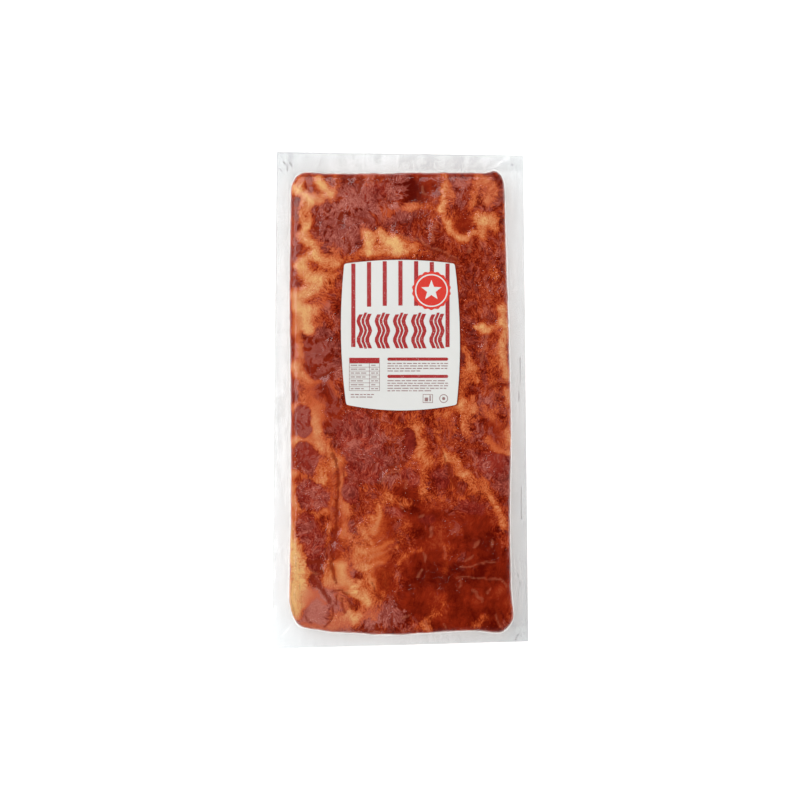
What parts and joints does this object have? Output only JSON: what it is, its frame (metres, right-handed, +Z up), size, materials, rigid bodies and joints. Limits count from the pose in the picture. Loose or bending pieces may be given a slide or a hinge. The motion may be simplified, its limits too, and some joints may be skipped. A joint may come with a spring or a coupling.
{
  "type": "bacon pack",
  "caption": "Flat vacuum pack of smoked slab bacon: a marbled slab sealed in clear clinging film with a welded flange all round it and a paper label on its upper face.",
  "frame": {"origin": "middle of the pack's outline, on the surface that it lies on", "axes": "+Y along the pack's length, towards the end that the head of the label points to; +X to the right of the label; +Z up, out of the labelled face"},
  "size_m": [0.18, 0.346, 0.0354],
  "materials": {
    "smoked_meat": "moist marbled meat seen through clinging clear film",
    "clear_film": "clear flexible packing film, glossy",
    "label_paper": "white coated paper, satin",
    "label_print": "red printing ink on coated paper"
  },
  "bodies": {
    "root": {"bag": "smoked_meat", "label": "label_paper"}
  },
  "joints": []
}
